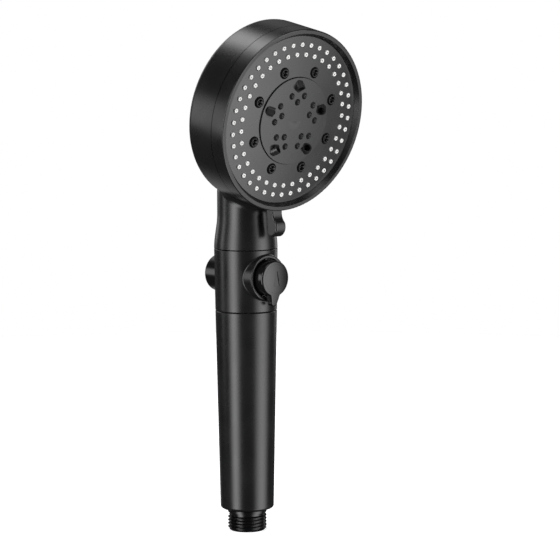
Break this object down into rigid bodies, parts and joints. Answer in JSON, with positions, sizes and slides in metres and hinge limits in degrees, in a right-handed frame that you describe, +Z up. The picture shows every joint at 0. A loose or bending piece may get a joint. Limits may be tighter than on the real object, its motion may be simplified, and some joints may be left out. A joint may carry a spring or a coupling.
{
  "type": "handheld shower head",
  "caption": "Handheld shower head with a turning multi-spray face, a lever to choose the spray, a flow knob and a pause button on the grip.",
  "frame": {"origin": "centre of the hose thread's end face, at the foot of the grip", "axes": "+Z up the grip along the hose thread's axis, -Y the way the spray face looks, +X to the right of someone facing the spray face"},
  "size_m": [0.0973, 0.0726, 0.2756],
  "materials": {
    "satin_black": "satin black moulded ABS",
    "gloss_black": "polished black ABS",
    "thread_black": "dull black moulded acetal",
    "face_grey": "polished dark grey ABS",
    "white_silicone": "white silicone",
    "grey_silicone": "dark grey silicone",
    "black_rubber": "black EPDM rubber",
    "natural_acetal": "natural white acetal",
    "grey_abs": "unpainted grey ABS",
    "stainless_steel": "stainless steel"
  },
  "bodies": {
    "handset": {"inlet_nipple": "thread_black", "inlet_filter": "natural_acetal", "flow_restrictor": "natural_acetal", "handle_grip": "satin_black", "handle_water_tube": "grey_abs", "valve_housing": "satin_black", "valve_body": "grey_abs", "lower_joint_seal": "black_rubber", "upper_joint_seal": "black_rubber", "plug_gland": "natural_acetal", "button_guide": "natural_acetal", "guide_seal": "black_rubber", "pause_spring": "stainless_steel", "head_shell": "satin_black", "neck_water_tube": "grey_abs", "manifold": "grey_abs", "manifold_screws": "stainless_steel", "port_seal_cup": "black_rubber", "port_seal_spring": "stainless_steel", "detent_ball": "stainless_steel", "detent_spring": "stainless_steel", "pivot_screw": "stainless_steel", "pivot_washer": "stainless_steel"},
    "spray_face": {"bezel_ring": "satin_black", "mode_lever": "satin_black", "face_plate": "face_grey", "rain_nozzle_mat": "white_silicone", "jet_nozzles": "gloss_black", "centre_disc": "face_grey", "massage_nozzle_mat": "grey_silicone", "mist_nozzles": "face_grey", "distributor": "natural_acetal"},
    "flow_knob": {"flow_knob": "gloss_black", "knob_screw": "stainless_steel", "knob_cap": "gloss_black", "regulator_plug": "natural_acetal", "plug_seal": "black_rubber", "stem_seal": "black_rubber"},
    "pause_button": {"pause_button": "gloss_black", "pause_stem": "natural_acetal", "poppet_washer": "black_rubber"}
  },
  "joints": [
    {"name": "spray_select", "type": "hinge", "parent": "handset", "child": "spray_face", "pos_m": [0, -0.0373, 0.2229], "axis": [0, -0.9781, -0.2079], "range_deg": [-36, 36]},
    {"name": "flow_turn", "type": "hinge", "parent": "handset", "child": "flow_knob", "pos_m": [0, -0.0237, 0.1387], "axis": [0, -1, 0], "range_deg": [0, 90]},
    {"name": "pause_push", "type": "slide", "parent": "handset", "child": "pause_button", "axis": [0, -1, 0], "range_m": [0, 0.003], "stiffness_N_per_m": 900, "springref_m": -0.002, "deforming": ["pause_spring"]}
  ]
}
